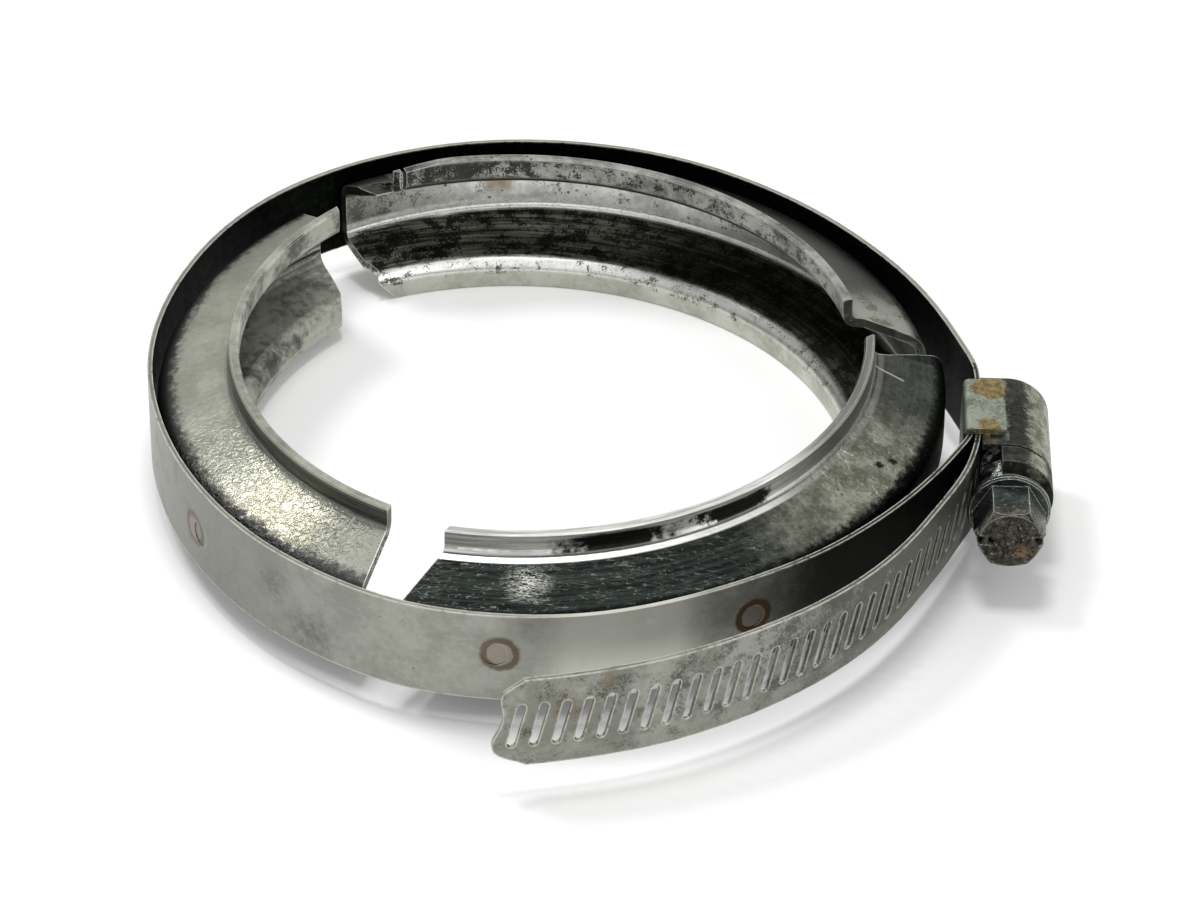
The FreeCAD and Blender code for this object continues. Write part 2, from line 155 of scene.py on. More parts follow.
floor_mesh = bpy.data.meshes.new("floor")
floor_mesh.from_pydata([(-FLOOR_REACH, -FLOOR_REACH, 0), (FLOOR_REACH, -FLOOR_REACH, 0),
                        (FLOOR_REACH, FLOOR_REACH, 0), (-FLOOR_REACH, FLOOR_REACH, 0)],
                       [], [(0, 1, 2, 3)])
floor = bpy.data.objects.new("floor", floor_mesh)
bpy.context.scene.collection.objects.link(floor)
floor_white = bpy.data.materials.new("floor_white")
floor_white.use_nodes = True
floor_white.node_tree.nodes.clear()
t = Tree(floor_white.node_tree)
paper = t.add("ShaderNodeBsdfDiffuse",
              {"Color": rgb(FLOOR_WHITE, FLOOR_WHITE, FLOOR_WHITE)}).outputs[0]
strength = t.math("MULTIPLY", seeing_rays(t), FLOOR_GLOW)
glow = t.add("ShaderNodeEmission", {"Color": rgb(1, 1, 1), "Strength": strength}).outputs[0]
paper_and_glow = t.add("ShaderNodeAddShader", {0: paper, 1: glow}).outputs[0]
t.add("ShaderNodeOutputMaterial", {"Surface": paper_and_glow})
floor_mesh.materials.append(floor_white)
print("floor:", round(2 * FLOOR_REACH, 1), "m across")

# %% [markdown]
# Three round lamps hang over the bench: the key lamp behind the left shoulder of the
# ring, a top lamp above it for the sparks on the bends, and a broad weak one in front on
# the right. The white surround gives the metal something pale to mirror.

# %% World and lamps
SKY_SEEN = 1.0
SKY_LIGHT = 0.55

world = bpy.data.worlds.new("studio")
bpy.context.scene.world = world
world.use_nodes = True
world.node_tree.nodes.clear()
t = Tree(world.node_tree)
strength = t.math("MULTIPLY_ADD", seeing_rays(t), SKY_SEEN - SKY_LIGHT, SKY_LIGHT)
sky = t.add("ShaderNodeBackground", {"Color": rgb(1, 1, 1), "Strength": strength}).outputs[0]
t.add("ShaderNodeOutputWorld", {"Surface": sky})


def lamp(name, place, size, power):
    """A round lamp that looks at the middle of the ring; metres and watts."""
    data = bpy.data.lights.new(name, "AREA")
    data.shape = "DISK"
    data.size = size
    data.energy = power
    made = bpy.data.objects.new(name, data)
    made.rotation_euler = (-Vector(place)).to_track_quat("-Z", "Y").to_euler()
    made.location = place
    bpy.context.scene.collection.objects.link(made)


lamp("key_lamp", (-0.35, 0.25, 0.75), 0.24, 2.6)
lamp("top_lamp", (-0.02, 0.0, 0.80), 0.22, 2.2)
lamp("fill_lamp", (0.55, -0.5, 0.5), 0.5, 0.8)

# %% [markdown]
# ## Where on the ring
# Old stains sit in known places: a heat mark at each weld, grease near the screw. All
# masks below therefore ask the same question, where is this point on the ring? One
# shared group turns a position into degrees round the ring, height over its middle
# plane and radius, the last two in millimetres, so that a stain can be put in words
# such as "from 300 to 345 degrees, upper half".

# %% Group: place on the ring
def new_group(name, inputs, outputs):
    """A shader node group with named sockets, and a Tree to fill it with."""
    group = bpy.data.node_groups.new(name, "ShaderNodeTree")
    for label, kind, value in inputs:
        made = group.interface.new_socket(label, in_out="INPUT",
                                          socket_type="NodeSocket" + kind)
        if value is not None:
            made.default_value = value
    for label, kind in outputs:
        group.interface.new_socket(label, in_out="OUTPUT", socket_type="NodeSocket" + kind)
    print("group", name + ":", [row[0] for row in inputs], "->", [row[0] for row in outputs])
    t = Tree(group)
    return group, t, t.add("NodeGroupInput").outputs, t.add("NodeGroupOutput").inputs


ring_place, t, take, give = new_group(
    "ring_place", [("Position", "Vector", None)],
    [("Around", "Float"), ("Height", "Float"), ("Radius", "Float"), ("Along", "Vector")])
xyz = t.split(take["Position"])
turn = t.math("ARCTAN2", xyz[1], xyz[0])
around = t.math("FLOORED_MODULO", t.math("MULTIPLY", turn, 180 / math.pi), 360.0)
flat = t.add("ShaderNodeCombineXYZ", {0: xyz[0], 1: xyz[1]}).outputs[0]
radius = t.math("MULTIPLY", t.vector("LENGTH", flat), MM)
height = t.math("MULTIPLY_ADD", xyz[2], MM, -MIDDLE * MM)
along = t.add("ShaderNodeCombineXYZ", {0: around, 1: height, 2: radius}).outputs[0]
for value, name in ((around, "Around"), (height, "Height"), (radius, "Radius"),
                    (along, "Along")):
    t.tree.links.new(value, give[name])

# %% [markdown]
# ## Dirt, scratches and wear as shared groups
# Each group gives only a mask or a height, never a finished surface, so one kind of wear
# looks alike on all pieces while every material keeps its own colours and its own shader.
# - `cloudy`: slow and fast noise added, for the uneven grey of handled steel.
# - `spot`: a ragged round patch, for stains, grease and pits in a chosen place.
# - `drawn_lines`: noise pulled out along the ring, as rolling and forming leave it.
# - `hairlines`: short thin scratches, where a stretched noise crosses its middle value.
# - `specks`: small sharp pits from cell noise, thinned by a second noise.
# - `worn_edge`: bright rims, found where a slightly rounded normal leaves the true one.
# - `crevice`: painted shade, with grime, in corners that see little of the sky.

# %% Group: cloudy
cloudy, t, take, give = new_group(
    "cloudy", [("Position", "Vector", None), ("Scale", "Float", 200.0), ("Fine", "Float", 0.4)],
    [("Value", "Float")])
slow = t.noise(take["Position"], take["Scale"], 3.0, 0.6)
fast = t.noise(take["Position"], t.math("MULTIPLY", take["Scale"], 7.0), 3.0, 0.7)
share = t.math("MULTIPLY", t.math("SUBTRACT", fast, 0.5), take["Fine"])
t.tree.links.new(t.math("ADD", slow, share, clamp=True), give["Value"])

# %% Group: spot
spot, t, take, give = new_group(
    "spot", [("Position", "Vector", None), ("Centre", "Vector", None), ("Size", "Float", 2.0),
             ("Soft", "Float", 0.5), ("Ragged", "Float", 1.0), ("Scale", "Float", 900.0)],
    [("Mask", "Float"), ("Distance", "Float")])
gap = t.vector("LENGTH", t.vector("SUBTRACT", take["Position"], take["Centre"]))
wander = t.math("SUBTRACT", t.noise(take["Position"], take["Scale"], 3.0), 0.5)
gap = t.math("MULTIPLY_ADD", gap, MM, t.math("MULTIPLY", wander, take["Ragged"]))
start = t.math("ADD", take["Size"], take["Soft"])
end = t.math("SUBTRACT", take["Size"], take["Soft"])
t.tree.links.new(t.ease(gap, start, end), give["Mask"])
t.tree.links.new(gap, give["Distance"])

# %% Group: drawn lines
drawn_lines, t, take, give = new_group(
    "drawn_lines", [("Along", "Vector", None), ("Stretch", "Float", 0.12),
                    ("Scale", "Float", 3.0)],
    [("Value", "Float")])
parts = t.split(take["Along"])
pulled = t.add("ShaderNodeCombineXYZ",
               {0: t.math("MULTIPLY", parts[0], take["Stretch"]), 1: parts[1],
                2: parts[2]}).outputs[0]
t.tree.links.new(t.noise(pulled, take["Scale"], 4.0, 0.7), give["Value"])

# %% Group: hairlines
hairlines, t, take, give = new_group(
    "hairlines", [("Position", "Vector", None), ("Scale", "Float", 260.0),
                  ("Width", "Float", 0.012),
                  ("Share", "Float", 0.5)], [("Mask", "Float")])
found = None
for turn_deg, pull in ((28, 5.0), (-41, 4.0), (83, 6.0)):
    laid = t.add("ShaderNodeMapping", {"Vector": take["Position"],
                                       "Rotation": (0.4, 0.2, math.radians(turn_deg)),
                                       "Scale": (1.0, pull, pull)}).outputs[0]
    across_line = t.math("ABSOLUTE", t.math("SUBTRACT", t.noise(laid, take["Scale"], 1.0), 0.5))
    line = t.ease(across_line, take["Width"], 0.0)
    some = t.ease(t.noise(laid, t.math("MULTIPLY", take["Scale"], 0.6), 1.0),
                  t.math("SUBTRACT", 1.02, take["Share"]), t.math("SUBTRACT", 1.12,
                                                                  take["Share"]))
    line = t.math("MULTIPLY", line, some)
    found = line if found is None else t.math("MAXIMUM", found, line)
t.tree.links.new(found, give["Mask"])

# %% Group: specks
specks, t, take, give = new_group(
    "specks", [("Position", "Vector", None), ("Scale", "Float", 1500.0), ("Size", "Float", 0.3),
               ("Share", "Float", 0.5)], [("Mask", "Float")])
cells = t.add("ShaderNodeTexVoronoi", {"Vector": take["Position"],
                                       "Scale": take["Scale"]}).outputs
dot = t.ease(cells["Distance"], take["Size"], t.math("MULTIPLY", take["Size"], 0.6))
patch = t.noise(take["Position"], t.math("MULTIPLY", take["Scale"], 0.22), 3.0, 0.65)
some = t.ease(patch, t.math("SUBTRACT", 1.0, take["Share"]),
              t.math("SUBTRACT", 1.08, take["Share"]))
t.tree.links.new(t.math("MULTIPLY", dot, some), give["Mask"])

# %% Group: worn edge
worn_edge, t, take, give = new_group(
    "worn_edge", [("Width", "Float", 0.0003), ("Low", "Float", 0.03), ("High", "Float", 0.16)],
    [("Mask", "Float")])
true_normal = t.add("ShaderNodeNewGeometry").outputs["Normal"]
eased = t.add("ShaderNodeBevel", {"Radius": take["Width"]}, samples=6).outputs[0]
bend = t.math("SUBTRACT", 1.0, t.vector("DOT_PRODUCT", true_normal, eased))
t.tree.links.new(t.ease(bend, take["Low"], take["High"]), give["Mask"])

# %% Group: crevice
crevice, t, take, give = new_group(
    "crevice", [("Reach", "Float", 0.004), ("Shut", "Float", 0.25), ("Open", "Float", 0.75)],
    [("Mask", "Float")])
open_sky = t.add("ShaderNodeAmbientOcclusion", {"Distance": take["Reach"]},
                 samples=6).outputs["AO"]
t.tree.links.new(t.ease(open_sky, take["Open"], take["Shut"]), give["Mask"])

# %% [markdown]
# ## Start of a finish
# Every steel here begins in the same way: a Principled shader, the Object position, the
# ring place and a mask for the side of a wall that looks in at the ring's centre. The
# class adds short methods that call the shared groups, so a finish reads as a list of
# what was done to the metal.

# %% Finish helper
STEEL_IOR = 1.45


def ring_point(degrees, radius, height=0.0):
    """Place on the ring, from degrees and millimetres to metres."""
    a = math.radians(degrees)
    return (radius * math.cos(a) / MM, radius * math.sin(a) / MM, MIDDLE + height / MM)


class Finish(Tree):
    """A steel's material; centre is that of a piece that lies off the ring's, in mm."""

    def __init__(self, name, centre=(0, 0)):
        self.material = bpy.data.materials.new(name)
        self.material.use_nodes = True
        super().__init__(self.material.node_tree)
        self.shader = self.tree.nodes["Principled BSDF"]
        self.shader.inputs["IOR"].default_value = STEEL_IOR
        self.place = self.add("ShaderNodeTexCoord").outputs["Object"]
        self.normal = self.add("ShaderNodeNewGeometry").outputs["Normal"]
        self.centred = self.place
        if any(centre):
            shift = (centre[0] / MM, centre[1] / MM, 0)
            self.centred = self.vector("SUBTRACT", self.place, shift)
        ring = self.use(ring_place, {"Position": self.centred})
        self.around, self.height = ring["Around"], ring["Height"]
        self.radius, self.along = ring["Radius"], ring["Along"]

    def use(self, group, inputs=()):
        return self.add("ShaderNodeGroup", inputs, node_tree=group).outputs

    def cloud(self, scale, fine=0.4):
        return self.use(cloudy, {"Position": self.place, "Scale": scale, "Fine": fine})[0]

    def patch(self, centre, size, soft=0.4, ragged=1.0, scale=900.0):
        return self.use(spot, {"Position": self.place, "Centre": centre, "Size": size,
                               "Soft": soft, "Ragged": ragged, "Scale": scale})["Mask"]

    def lines(self, stretch=0.12, scale=3.0):
        return self.use(drawn_lines, {"Along": self.along, "Stretch": stretch,
                                      "Scale": scale})[0]

    def hairs(self, scale=260.0, width=0.012, share=0.5):
        return self.use(hairlines, {"Position": self.place, "Scale": scale, "Width": width,
                                    "Share": share})[0]

    def pits(self, scale, size, share):
        return self.use(specks, {"Position": self.place, "Scale": scale, "Size": size,
                                 "Share": share})[0]

    def edge(self, width=0.0003, low=0.03, high=0.16):
        return self.use(worn_edge, {"Width": width, "Low": low, "High": high})[0]

    def corner(self, reach=0.004, shut=0.25, open_=0.75):
        return self.use(crevice, {"Reach": reach, "Shut": shut, "Open": open_})[0]

    def band(self, value, a, b, c, d):
        """1 between b and c, easing to 0 at a and d."""
        return self.math("MULTIPLY", self.ease(value, a, b), self.ease(value, d, c))

    def looks_in(self, full):
        """1 where the surface faces the centre of the ring, 0 where it faces out."""
        out = self.vector("NORMALIZE", self.vector("MULTIPLY", self.centred, (1, 1, 0)))
        return self.ease(self.vector("DOT_PRODUCT", out, self.normal), 0.1, full)

    def both(self, a, b):
        return self.math("MULTIPLY", a, b)

    def either(self, a, b):
        return self.math("MAXIMUM", a, b)

    def less(self, a):
        return self.math("SUBTRACT", 1.0, a)

    def scaled(self, value, factor, offset):
        return self.math("MULTIPLY_ADD", value, factor, offset)

    def tones(self, value, start, end, first, last):
        """First tone up to start, last tone from end on, smooth between."""
        return self.mix(self.ease(value, start, end), first, last)

    def paint(self, under, where, strength, tone):
        """Lay a tone over what is under it, where a mask is 1."""
        return self.mix(self.math("MULTIPLY", where, strength), under, tone)

    def skin(self, scale, distortion):
        """Height of a crinkled skin, from a warped noise."""
        return self.add("ShaderNodeTexNoise",
                        {"Vector": self.place, "Scale": scale, "Detail": 2.0,
                         "Roughness": 0.5, "Distortion": distortion}).outputs[0]

    def bumps(self, layers):
        """layers: (height socket, strength, depth in metres), the first one lowest."""
        below = {}
        for value, strength, depth in layers:
            bump = self.add("ShaderNodeBump", {"Height": value, "Strength": strength,
                                               "Distance": depth, **below})
            below = {"Normal": bump.outputs[0]}
        return bump.outputs[0]

    def done(self, colour, roughness, metallic, normal):
        for name, value in (("Base Color", colour), ("Roughness", roughness),
                            ("Metallic", metallic), ("Normal", normal)):
            self.put(self.shader.inputs[name], value)
        print(self.material.name, "has", len(self.tree.nodes), "nodes")
        return self.material

# %% [markdown]
# ## The strap
# A flat stainless band, rolled satin and handled for years. Its outer face is a warm grey
# with faint clouds, its raw edges are rubbed bright, and its inner face is painted near black,
# sooty and greasy, with painted shade. Near the screw the outer face is greasy too, and from
# 266 to 293 degrees it gets painted light. The loose end stands further out than the rest,
# so radius and angle together tell it apart, and three welds show as small discs with a
# brown ring where the heat stained the steel.

# %% Finish: strap
# degrees, radius and height of each weld, and how strongly the heat stained it
WELDS = ((211.6, 51.9, -0.7, 1.15), (264.1, 55.6, 0.6, 1.25), (298.1, 53.9, 0.7, 1.9))
WELD_R = 1.65       # radius of the electrode's print, millimetres

f = Finish("strap_steel")
cloud = f.cloud(130, 0.5)
fine = f.cloud(1100, 0.7)
lines = f.lines(0.10, 2.2)
inner = f.looks_in(-0.35)
tail = f.both(f.ease(f.radius, 56.15, 56.45), f.band(f.around, 255, 262, 334, 338))
colour = f.tones(cloud, 0.3, 0.7, rgb(0.235, 0.238, 0.206), rgb(0.330, 0.333, 0.294))
colour = f.paint(colour, f.ease(lines, 0.5, 0.72), 0.30, rgb(0.40, 0.40, 0.36))
colour = f.paint(colour, f.pits(1500, 0.26, 0.42), 0.7, rgb(0.07, 0.07, 0.06))
left_dull = f.band(f.around, 120, 165, 215, 250)
colour = f.paint(colour, left_dull, 0.62, rgb(0.15, 0.152, 0.133))
smudge = f.either(f.patch(ring_point(237.5, 53.6, -3.6), 3.2, 2.4, 4.0, 350.0),
                  f.patch(ring_point(231.0, 53.0, 1.0), 2.2, 1.8, 3.0, 350.0))
colour = f.mix(f.both(smudge, f.ease(fine, 0.35, 0.65, 0.15, 0.6)), colour,
               rgb(0.075, 0.078, 0.064))
# painted light: the outer face from 266 to 293 degrees is made lighter
painted_light_band = f.band(f.around, 266, 275, 286, 293)
colour = f.paint(colour, painted_light_band, 0.75, rgb(0.74, 0.745, 0.66))

# the loose end: grime between the slots, worse towards the screw
grime_noise = f.cloud(420, 0.9)
towards_screw = f.ease(f.around, 283, 322)
grime = f.ease(f.math("ADD", grime_noise, f.math("MULTIPLY", towards_screw, 0.30)), 0.50, 0.74)
tail_tone = f.tones(cloud, 0.35, 0.65, rgb(0.20, 0.203, 0.172), rgb(0.315, 0.318, 0.28))
tail_tone = f.paint(tail_tone, towards_screw, 0.62, rgb(0.085, 0.088, 0.072))
tail_tone = f.paint(tail_tone, grime, 0.75, rgb(0.045, 0.046, 0.036))
low_edge = f.band(f.height, -6.6, -6.2, -4.6, -3.4)
tail_tone = f.paint(tail_tone, low_edge, 0.25, rgb(0.36, 0.36, 0.31))
brown = f.either(f.patch(ring_point(272.1, 67.4, 1.5), 1.6, 1.0, 1.6),
                 f.patch(ring_point(276.4, 66.3, 5.0), 1.1, 0.8, 1.6))
tail_tone = f.paint(tail_tone, brown, 0.45, rgb(0.16, 0.10, 0.055))
colour = f.mix(tail, colour, tail_tone)

# grease on the strap near the screw; the whole inner face painted near black, sooty and greasy,
# with painted shade
gloom = f.both(f.ease(f.math("ADD", f.around, f.math("MULTIPLY", grime_noise, 6.0)), 294, 313),
               f.less(tail))
colour = f.paint(colour, gloom, 0.97, rgb(0.012, 0.015, 0.011))
soot_and_shade = f.tones(fine, 0.45, 0.75, rgb(0.0015, 0.0030, 0.0020), rgb(0.010, 0.013, 0.010))
colour = f.mix(inner, colour, soot_and_shade)
rim = f.edge(0.00045, 0.02, 0.10)
rubbed = f.both(rim, f.ease(fine, 0.30, 0.48))
colour = f.paint(colour, rubbed, 0.9, rgb(0.60, 0.60, 0.52))

# the three welds
heat, disc = None, None
for degrees, radius, height, dark in WELDS:
    made = f.use(spot, {"Position": f.place, "Centre": ring_point(degrees, radius, height),
                        "Size": WELD_R, "Soft": 0.12, "Ragged": 0.5, "Scale": 1400.0})
    ring = f.math("MULTIPLY", f.band(made["Distance"], 1.5, 1.75, 2.25, 2.8), dark)
    heat = ring if heat is None else f.either(heat, ring)
    disc = made["Mask"] if disc is None else f.either(disc, made["Mask"])
outside = f.less(inner)
heat = f.both(f.both(heat, outside), f.less(tail))
disc = f.both(f.both(disc, outside), f.less(tail))
colour = f.mix(f.math("MULTIPLY", heat, 0.62, clamp=True), colour, rgb(0.080, 0.047, 0.018))
colour = f.paint(colour, disc, 0.5, rgb(0.22, 0.17, 0.13))

# skin
rough = f.scaled(cloud, 0.22, 0.26)
rough = f.math("ADD", rough, f.math("MULTIPLY", grime, 0.12))
caked = f.both(tail, grime)
metal = f.scaled(f.either(inner, gloom), 0.08, 0.92)
metal = f.scaled(caked, -0.35, metal)
rough = f.math("ADD", rough, f.math("MULTIPLY", inner, 0.16))
normal = f.bumps([(lines, 0.16, 0.00006), (fine, 0.22, 0.00008)])
strap_finish = f.done(colour, rough, metal, normal)

# %% [markdown]
# ## Pressed steel of the retainers
# All three retainers are the same rolled sheet, but each has aged in its own way. The
# common part is written once: which wall a point is on, told by height and by the way
# the surface faces. Each retainer then gets its own list of colours and marks.

# %% Helper: walls of a V retainer
LEFT_CENTRE = (4.42, -0.07)     # millimetres; the squeezed retainers share none
FRONT_CENTRE = (-3.15, 1.42)
REAR_CENTRE = (-4.63, -0.56)


def retainer(name, centre):
    """A finish that knows the walls of a retainer, each as a mask."""
    f = Finish(name, centre)
    f.inner = f.looks_in(-0.25)
    faces_up = f.ease(f.split(f.normal)[2], 0.25, 0.5)
    f.upper_flange = f.both(faces_up, f.band(f.height, 2.4, 3.2, 7.6, 8.2))
    f.upper_lip = f.ease(f.height, 6.9, 7.5)
    f.lower_lip = f.ease(f.height, -6.9, -7.6)
    f.web = f.both(f.inner, f.band(f.height, -4.6, -3.8, 3.8, 4.6))
    f.cloudy = f.cloud(140, 0.5)
    f.fine = f.cloud(1000, 0.7)
    f.drawn = f.lines(0.035, 1.9)
    f.rim = f.both(f.edge(0.0003, 0.02, 0.14), f.ease(f.fine, 0.20, 0.48))
    return f


print("retainer centres in mm:", LEFT_CENTRE, FRONT_CENTRE, REAR_CENTRE)

# %% [markdown]
# ### Left retainer
# Its upper flange is matt and beige, and in the stretch towards the front it is wrinkled
# like orange peel, which breaks the lamp's reflection into a cluster of sparks; a painted
# highlight adds to them, and the flange beyond them is painted darker as painted shade. The
# upper lip is dark with a bright rim, and the crevice along the strap is painted black, dirt
# with painted shade.

# %% Finish: left retainer
f = retainer("left_retainer_steel", LEFT_CENTRE)
colour = f.tones(f.cloudy, 0.3, 0.7, rgb(0.200, 0.210, 0.168), rgb(0.275, 0.285, 0.235))
colour = f.paint(colour, f.ease(f.fine, 0.55, 0.85), 0.35, rgb(0.48, 0.48, 0.41))
colour = f.paint(colour, f.pits(1300, 0.25, 0.38), 0.7, rgb(0.05, 0.05, 0.04))

# a painted highlight where the lamp's reflection breaks up, and painted shade on the end beyond
# it
sparks = f.both(f.upper_flange, f.band(f.around, 204, 216, 223, 231))
colour = f.paint(colour, sparks, 0.55, rgb(0.66, 0.66, 0.56))
shaded_end = f.both(f.upper_flange, f.ease(f.around, 223, 233))
colour = f.paint(colour, shaded_end, 0.80, rgb(0.115, 0.120, 0.100))
warm = f.both(f.upper_flange, f.patch(ring_point(224, 46.5, 6.0), 6.0, 4.0, 5.0, 300.0))
colour = f.paint(colour, warm, 0.30, rgb(0.30, 0.22, 0.10))

# the inside, blotched black high up
inside_tone = f.tones(f.cloudy, 0.32, 0.66, rgb(0.10, 0.105, 0.085), rgb(0.50, 0.51, 0.44))
inside_tone = f.mix(f.both(f.lower_lip, f.ease(f.drawn, 0.35, 0.6)), inside_tone,
                    rgb(0.52, 0.525, 0.46))
black_patch = f.ease(f.math("ADD", f.drawn, f.math("MULTIPLY", f.cloudy, 0.5)), 0.70, 0.86)
high_up = f.band(f.height, -4.5, -2.0, 6.5, 7.5)
inside_tone = f.mix(f.both(black_patch, high_up), inside_tone, rgb(0.010, 0.013, 0.010))
colour = f.mix(f.inner, colour, inside_tone)

# the dark lip, and the crevice along the strap painted black, dirt with painted shade
dark_lip = f.both(f.upper_lip, f.ease(f.around, 168, 196))
dark_lip = f.both(dark_lip, f.less(f.ease(f.height, 9.5, 10.1)))
lip_tone = f.tones(f.drawn, 0.35, 0.65, rgb(0.035, 0.040, 0.034), rgb(0.16, 0.165, 0.145))
colour = f.paint(colour, dark_lip, 0.85, lip_tone)
crevice_dirt_and_shade = f.scaled(f.fine, 3.2, f.radius)
crevice_dirt_and_shade = f.both(f.ease(crevice_dirt_and_shade, 53.6, 55.2), f.less(f.inner))
colour = f.mix(crevice_dirt_and_shade, colour, rgb(0.004, 0.006, 0.004))
colour = f.paint(colour, f.rim, 0.85, rgb(0.62, 0.63, 0.57))

# skin
wrinkle_zone = f.both(f.upper_flange, f.band(f.around, 186, 213, 226, 242))
wrinkle = f.both(f.skin(1020.0, 1.6), f.scaled(wrinkle_zone, 0.86, 0.14))
rough = f.scaled(f.cloudy, 0.16, 0.38)
rough = f.math("SUBTRACT", rough, f.math("MULTIPLY", wrinkle_zone, 0.16))
metal = f.scaled(f.either(crevice_dirt_and_shade, f.both(f.inner, black_patch)), -0.6, 0.9)
normal = f.bumps([(f.drawn, 0.10, 0.00006), (f.fine, 0.35, 0.00010), (wrinkle, 0.9, 0.00030)])
left_finish = f.done(colour, rough, metal, normal)

# %% [markdown]
# ### Front retainer
# The left two thirds of its flange are burnt dark green black and carry fine light
# scratches; towards the screw it turns beige with a coarser skin, deep pits and one long
# scratch. The outside of the upper lip is painted light, greyer towards the screw, with two
# stretches of black along it, and a thin painted highlight follows the bend below them.

# %% Finish: front retainer
f = retainer("front_retainer_steel", FRONT_CENTRE)
burnt = f.tones(f.drawn, 0.36, 0.66, rgb(0.004, 0.006, 0.005), rgb(0.024, 0.031, 0.027))
burnt = f.paint(burnt, f.ease(f.fine, 0.55, 0.85), 0.55, rgb(0.10, 0.11, 0.10))
beige = f.tones(f.cloud(260, 0.6), 0.34, 0.66, rgb(0.095, 0.098, 0.074),
                rgb(0.245, 0.250, 0.200))
beige = f.paint(beige, f.ease(f.fine, 0.5, 0.8), 0.4, rgb(0.085, 0.088, 0.066))
sweep = f.math("ADD", f.around, f.math("MULTIPLY", f.math("SUBTRACT", f.cloudy, 0.5), 22.0))
lighter = f.both(f.ease(sweep, 302, 324), f.less(f.ease(sweep, 334, 348, 0.0, 0.80)))
colour = f.mix(lighter, burnt, beige)
colour = f.paint(colour, f.pits(1200, 0.28, 0.42), 0.75, rgb(0.012, 0.013, 0.010))

# scratches
hair = f.hairs(420.0, 0.016, 0.50)
scratched = f.both(f.math("MULTIPLY", hair, 0.40), f.band(f.around, 240, 256, 290, 330))
colour = f.mix(scratched, colour, rgb(0.42, 0.43, 0.38))
tuft = f.both(f.hairs(800.0, 0.05, 0.62), f.patch(ring_point(267.2, 48.0, 4.6), 2.6, 1.4, 2.0))
colour = f.mix(tuft, colour, rgb(0.55, 0.56, 0.50))

# the lip, painted light, two stretches of black on it, and a painted highlight on the bend
# below
lip_colour_and_sheen = f.tones(f.drawn, 0.35, 0.65, rgb(0.50, 0.51, 0.48), rgb(0.95, 0.955, 0.90))
lip_colour_and_sheen = f.mix(f.ease(f.around, 312, 330, 0.0, 0.85), lip_colour_and_sheen, rgb(0.13, 0.135, 0.115))
lip_only = f.both(f.ease(f.height, 7.35, 7.7), f.less(f.inner))
colour = f.mix(lip_only, colour, lip_colour_and_sheen)
black_run = f.either(f.band(sweep, 274, 279, 292, 297), f.band(sweep, 299, 301, 309, 312))
wavy = f.scaled(f.drawn, 1.6, f.height)
black_run = f.both(f.both(black_run, lip_only), f.band(wavy, 7.75, 7.9, 10.3, 10.6))
colour = f.paint(colour, black_run, 0.98, rgb(0.003, 0.005, 0.003))
bend_highlight = f.both(f.band(f.height, 7.0, 7.1, 7.25, 7.4), f.less(f.inner))
bend_highlight = f.both(bend_highlight, f.ease(f.around, 322, 308, 0.12, 1.0))
colour = f.paint(colour, bend_highlight, 0.85, rgb(0.88, 0.885, 0.84))

# what looks down or in, and the crevice along the strap painted black, dirt with painted shade
underside = f.ease(f.height, -1.0, -3.0)
colour = f.paint(colour, underside, 0.5, rgb(0.07, 0.073, 0.06))
inside_tone = f.tones(f.drawn, 0.35, 0.65, rgb(0.012, 0.015, 0.011), rgb(0.085, 0.088, 0.072))
colour = f.mix(f.both(f.inner, f.less(f.rim)), colour, inside_tone)
crevice_dirt_and_shade = f.scaled(f.fine, 2.0, f.radius)
crevice_dirt_and_shade = f.both(f.ease(crevice_dirt_and_shade, 54.2, 55.2), f.less(f.inner))
colour = f.mix(crevice_dirt_and_shade, colour, rgb(0.006, 0.008, 0.006))

# deep pits and the long scratch
pit = f.either(f.patch(ring_point(332.0, 47.7, 6.0), 0.65, 0.2, 0.8, 2000.0),
               f.patch(ring_point(334.4, 48.6, 5.4), 0.55, 0.2, 0.9, 2000.0))
pit = f.either(pit, f.patch(ring_point(304.5, 53.2, 4.5), 0.7, 0.2, 1.0, 2000.0))
colour = f.mix(pit, colour, rgb(0.006, 0.006, 0.005))
gouge = f.both(f.band(f.scaled(f.radius, 0.36, f.around), 371.2, 371.45, 371.6, 371.85),
               f.upper_flange)
gouge = f.both(gouge, f.band(f.radius, 45.6, 46.0, 49.3, 49.8))
colour = f.paint(colour, gouge, 0.7, rgb(0.50, 0.50, 0.44))
colour = f.paint(colour, f.rim, 0.9, rgb(0.60, 0.61, 0.55))

# skin
peel_zone = f.both(f.upper_flange, f.ease(f.around, 316, 330))
peel = f.both(f.skin(640.0, 1.0), f.scaled(peel_zone, 0.75, 0.12))
rough = f.scaled(f.cloudy, 0.20, 0.34)
rough = f.math("ADD", rough, f.math("MULTIPLY", f.less(f.either(lighter, lip_only)), 0.18))
rough = f.math("SUBTRACT", rough, f.math("MULTIPLY", bend_highlight, 0.30))
dirt = f.either(black_run, crevice_dirt_and_shade)
metal = f.scaled(f.either(dirt, pit), 0.1, 0.9)
normal = f.bumps([(f.drawn, 0.10, 0.00006), (f.fine, 0.30, 0.00010), (peel, 0.9, 0.00050)])
front_finish = f.done(colour, rough, metal, normal)

# %% [markdown]
# ### Rear retainer
# Here the eye looks into the V. The upper lip is pitted black, with painted shade under it
# on the inside; the web is smooth and pale with a brown heat stain and one dark pit; the
# lower flange is painted dark as a painted reflection and carries thin black lines; and the
# lower lip is beige again. The two bends between them are rubbed bright and carry painted
# highlights.

# %% Finish: rear retainer
f = retainer("rear_retainer_steel", REAR_CENTRE)
colour = f.tones(f.cloudy, 0.3, 0.7, rgb(0.17, 0.175, 0.145), rgb(0.30, 0.305, 0.265))

